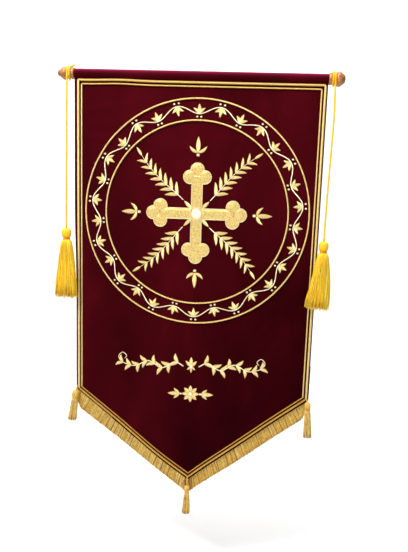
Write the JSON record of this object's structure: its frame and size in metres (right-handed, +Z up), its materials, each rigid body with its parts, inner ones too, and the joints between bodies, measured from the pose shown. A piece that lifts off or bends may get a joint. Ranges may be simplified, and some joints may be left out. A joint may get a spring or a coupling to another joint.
{
  "type": "church banner on a rod",
  "caption": "Velvet church banner with a pointed lower edge, gold cord borders and rings, fringe and tassels, hung by a sleeve on a wooden rod with turned ends",
  "frame": {"origin": "on the rod's axis at its middle, where the banner is carried", "axes": "+Z up, the cloth hanging towards -Z; X along the rod; the front faces -Y"},
  "size_m": [0.9116, 0.0723, 1.5169],
  "materials": {
    "burgundy_velvet": "short dense pile, matt with a soft sheen",
    "gold_thread": "metallic gold embroidery thread, satin",
    "fringe_gold": "metallic gold yarn, satin",
    "yellow_rayon": "glossy rayon yarn",
    "turned_wood": "clear satin varnish"
  },
  "bodies": {
    "root": {"rod": "turned_wood", "finial_left": "turned_wood", "finial_right": "turned_wood", "banner_cloth": "burgundy_velvet", "border_outer": "gold_thread", "border_inner": "gold_thread", "ring_outer": "gold_thread", "ring_inner": "gold_thread", "cross": "gold_thread", "fringe_left": "fringe_gold", "fringe_right": "fringe_gold", "corner_tassel_left": "fringe_gold", "corner_tassel_right": "fringe_gold", "corner_tassel_centre": "fringe_gold", "cord_left": "yellow_rayon", "cord_right": "yellow_rayon", "tassel_left": "yellow_rayon", "tassel_right": "yellow_rayon"}
  },
  "joints": []
}
